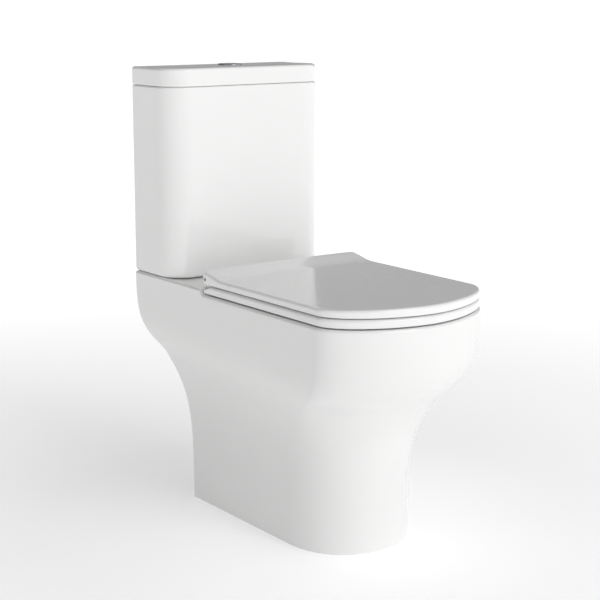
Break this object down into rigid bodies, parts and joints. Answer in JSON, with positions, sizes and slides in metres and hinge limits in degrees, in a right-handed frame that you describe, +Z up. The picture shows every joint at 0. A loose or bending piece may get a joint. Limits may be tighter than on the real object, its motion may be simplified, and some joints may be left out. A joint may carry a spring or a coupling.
{
  "type": "close coupled toilet",
  "caption": "Floor-standing close coupled toilet: open-backed pan with a cistern on its deck, a round dual-flush button and a D-shaped seat and lid.",
  "frame": {"origin": "on the floor, at the centre of the overall outline", "axes": "+Z up, +Y towards the wall behind the toilet, +X to the right of someone facing the wall; the front of the seat faces -Y"},
  "size_m": [0.354, 0.663, 0.822],
  "materials": {
    "glaze": "glossy white glaze",
    "seat_plastic": "polished white",
    "chrome": "bright plated",
    "white_plastic": "moulded",
    "blue_plastic": "moulded",
    "grey_plastic": "moulded",
    "rubber": "matt",
    "steel": "zinc plated",
    "brass": "turned"
  },
  "bodies": {
    "pan_and_cistern": {"pan": "glaze", "pan_bowl": "glaze", "pan_trapway": "glaze", "pan_inlet": "glaze", "cistern_tank": "glaze", "hinge_base_left": "chrome", "hinge_base_right": "chrome", "flush_valve_body": "white_plastic", "fill_valve_body": "white_plastic", "seat_wing_nut_left": "white_plastic", "seat_wing_nut_right": "white_plastic", "flush_valve_backnut": "grey_plastic", "fill_valve_backnut": "grey_plastic", "flush_valve_washer": "rubber", "doughnut_washer": "rubber", "fill_valve_washer": "rubber", "coupling_seal_left": "rubber", "coupling_seal_right": "rubber", "seat_bolt_washer_left": "rubber", "seat_bolt_washer_right": "rubber", "rocker_pin": "steel", "float_arm_pin": "steel", "hinge_pin_left": "steel", "hinge_pin_right": "steel", "seat_bolt_left": "steel", "seat_bolt_right": "steel", "floor_screw_left": "steel", "floor_screw_right": "steel", "coupling_plate_washer_left": "steel", "coupling_plate_washer_right": "steel", "coupling_bolt_left": "brass", "coupling_bolt_right": "brass", "coupling_wing_nut_left": "brass", "coupling_wing_nut_right": "brass"},
    "cistern_lid": {"cistern_lid": "glaze", "button_bezel": "chrome", "button_locknut": "grey_plastic"},
    "full_flush_button": {"full_flush_button": "chrome", "full_flush_rod": "white_plastic"},
    "half_flush_button": {"half_flush_button": "chrome", "half_flush_rod": "white_plastic"},
    "full_flush_rocker": {"full_flush_rocker": "blue_plastic"},
    "half_flush_rocker": {"half_flush_rocker": "grey_plastic"},
    "flush_valve_stem": {"flush_valve_stem": "blue_plastic", "flush_valve_seal": "rubber"},
    "fill_valve_float": {"fill_valve_float": "blue_plastic", "float_link": "steel"},
    "float_arm": {"float_arm": "grey_plastic"},
    "seat_lid": {"seat_lid": "seat_plastic", "lid_buffer_1_left": "rubber", "lid_buffer_1_right": "rubber", "lid_buffer_2_left": "rubber", "lid_buffer_2_right": "rubber"},
    "seat_ring": {"seat_ring": "seat_plastic", "seat_buffer_1_left": "rubber", "seat_buffer_1_right": "rubber", "seat_buffer_2_left": "rubber", "seat_buffer_2_right": "rubber"}
  },
  "joints": [
    {"name": "cistern_lid_lift", "type": "slide", "parent": "pan_and_cistern", "child": "cistern_lid", "axis": [0, 0, 1], "range_m": [0, 0.12]},
    {"name": "full_flush_press", "type": "slide", "parent": "cistern_lid", "child": "full_flush_button", "axis": [0, 0, -1], "range_m": [0, 0.006], "stiffness_N_per_m": 400, "springref_m": -0.004},
    {"name": "half_flush_press", "type": "slide", "parent": "cistern_lid", "child": "half_flush_button", "axis": [0, 0, -1], "range_m": [0, 0.006], "stiffness_N_per_m": 400, "springref_m": -0.004},
    {"name": "full_flush_rocker_turn", "type": "hinge", "parent": "pan_and_cistern", "child": "full_flush_rocker", "pos_m": [-0.009, 0.2795, 0.6613], "axis": [1, 0, 0], "range_deg": [0, 27]},
    {"name": "half_flush_rocker_turn", "type": "hinge", "parent": "pan_and_cistern", "child": "half_flush_rocker", "pos_m": [0.009, 0.2795, 0.6613], "axis": [1, 0, 0], "range_deg": [0, 27]},
    {"name": "flush_valve_lift", "type": "slide", "parent": "pan_and_cistern", "child": "flush_valve_stem", "axis": [0, 0, 1], "range_m": [0, 0.0105]},
    {"name": "float_rise", "type": "slide", "parent": "pan_and_cistern", "child": "fill_valve_float", "axis": [0, 0, 1], "range_m": [0, 0.012]},
    {"name": "float_arm_turn", "type": "hinge", "parent": "pan_and_cistern", "child": "float_arm", "pos_m": [-0.099, 0.263, 0.6673], "axis": [0, -1, 0], "range_deg": [0, 33]},
    {"name": "seat_lid_hinge", "type": "hinge", "parent": "pan_and_cistern", "child": "seat_lid", "pos_m": [0, 0.0935, 0.45339], "axis": [-1, 0, 0], "range_deg": [0, 100]},
    {"name": "seat_ring_hinge", "type": "hinge", "parent": "pan_and_cistern", "child": "seat_ring", "pos_m": [0, 0.0935, 0.45339], "axis": [-1, 0, 0], "range_deg": [0, 96]}
  ],
  "couplings": [
    {"joint": "full_flush_rocker_turn", "follows": "full_flush_press", "rad_per_m": 75},
    {"joint": "flush_valve_lift", "follows": "full_flush_press", "ratio": 1.75},
    {"joint": "half_flush_rocker_turn", "follows": "half_flush_press", "rad_per_m": 75},
    {"joint": "float_arm_turn", "follows": "float_rise", "rad_per_m": 46.667},
    {"joint": "seat_ring_hinge", "follows": "seat_lid_hinge", "ratio": 0.96}
  ]
}
